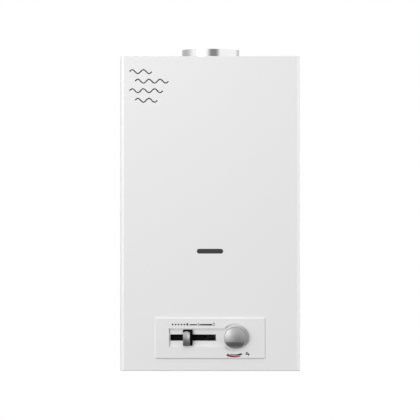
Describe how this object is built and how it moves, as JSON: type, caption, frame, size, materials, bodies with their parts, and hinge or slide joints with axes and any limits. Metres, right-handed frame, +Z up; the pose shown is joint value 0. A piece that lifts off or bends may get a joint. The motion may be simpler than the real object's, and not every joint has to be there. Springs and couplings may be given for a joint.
{
  "type": "tankless gas water heater",
  "caption": "Wall-hung tankless gas water heater: white sheet-steel case with a flue collar, a sight window and a control panel with a slider and a turning knob.",
  "frame": {"origin": "middle of the four wall holes, on the wall plane behind the case", "axes": "+X to the viewer's right, +Y into the wall, +Z up; the front faces -Y"},
  "size_m": [0.3444, 0.1593, 0.6095],
  "materials": {
    "case_paint": "white baked enamel, slight gloss",
    "galvanised": "zinc-coated sheet, dull",
    "flue_steel": "bright drawn sheet steel",
    "panel_plastic": "white moulding, satin",
    "black_plastic": "black moulding, matt",
    "silver_plastic": "silver-painted moulding, satin",
    "window_pane": "smoked heat-proof glass",
    "copper": "copper sheet and tube, lead-tin dulled",
    "stainless": "pressed stainless sheet",
    "brass": "hot-pressed brass",
    "cast_aluminium": "die-cast, tumbled",
    "steel": "plated steel",
    "electrode_ceramic": "white glazed rod",
    "diaphragm_rubber": "moulded rubber",
    "cell_jacket": "plain printed jacket",
    "solenoid_coil": "moulded coil"
  },
  "bodies": {
    "case": {"back_plate": "galvanised", "battery_box": "black_plastic", "battery_cells": "cell_jacket", "battery_contact": "steel", "burner_bars": "stainless", "burner_frame": "galvanised", "cell_brackets": "galvanised", "cold_nipple": "brass", "combustion_chamber": "copper", "control_panel": "panel_plastic", "cover_screws": "steel", "draught_hood": "galvanised", "electrode_pins": "stainless", "electrode_plate": "stainless", "exchanger_tube": "copper", "feed_pipe": "copper", "fin_plates": "copper", "flame_electrode": "electrode_ceramic", "floor_plate": "galvanised", "flow_switch": "black_plastic", "flue_collar": "flue_steel", "front_cover": "case_paint", "gas_manifold": "cast_aluminium", "gas_nipple": "brass", "gas_valve_body": "cast_aluminium", "hot_nipple": "brass", "hot_pipe": "copper", "igniter_module": "black_plastic", "injectors": "brass", "lock_nuts": "brass", "overheat_thermostat": "black_plastic", "slide_guide": "black_plastic", "solenoid_valve": "solenoid_coil", "spark_electrode": "electrode_ceramic", "switch_bracket": "galvanised", "thermostat_clip": "stainless", "valve_diaphragm": "diaphragm_rubber", "water_valve_body": "brass", "water_valve_cover": "brass", "window_glass": "window_pane", "window_retainer": "galvanised"},
    "slider": {"slider_base": "black_plastic", "slider_grip": "silver_plastic", "slider_rack": "black_plastic"},
    "cock": {"cock_sector": "black_plastic", "cock_spindle": "brass"},
    "knob": {"temperature_knob": "silver_plastic", "water_spindle": "brass"},
    "rod": {"push_rod": "stainless"},
    "plunger": {"switch_plunger": "silver_plastic"},
    "door": {"battery_door": "black_plastic"}
  },
  "joints": [
    {"name": "slider_slide", "type": "slide", "parent": "case", "child": "slider", "axis": [1, 0, 0], "range_m": [-0.0255, 0.0455]},
    {"name": "cock_turn", "type": "hinge", "parent": "case", "child": "cock", "pos_m": [-0.042, -0.118, -0.198], "axis": [0, -1, 0], "range_deg": [-48.8, 87]},
    {"name": "knob_turn", "type": "hinge", "parent": "case", "child": "knob", "pos_m": [0.047, -0.14, -0.234], "axis": [0, -1, 0], "range_deg": [-135, 135]},
    {"name": "rod_push", "type": "slide", "parent": "case", "child": "rod", "axis": [-1, 0, 0], "range_m": [0, 0.0034], "stiffness_N_per_m": 300},
    {"name": "plunger_push", "type": "slide", "parent": "case", "child": "plunger", "axis": [-1, 0, 0], "range_m": [0, 0.0034]},
    {"name": "door_swing", "type": "hinge", "parent": "case", "child": "door", "pos_m": [0.134, -0.0308, -0.2803], "axis": [1, 0, 0], "range_deg": [0, 90]}
  ],
  "couplings": [
    {"joint": "cock_turn", "follows": "slider_slide", "rad_per_m": 33.333},
    {"joint": "plunger_push", "follows": "rod_push", "ratio": 1}
  ]
}
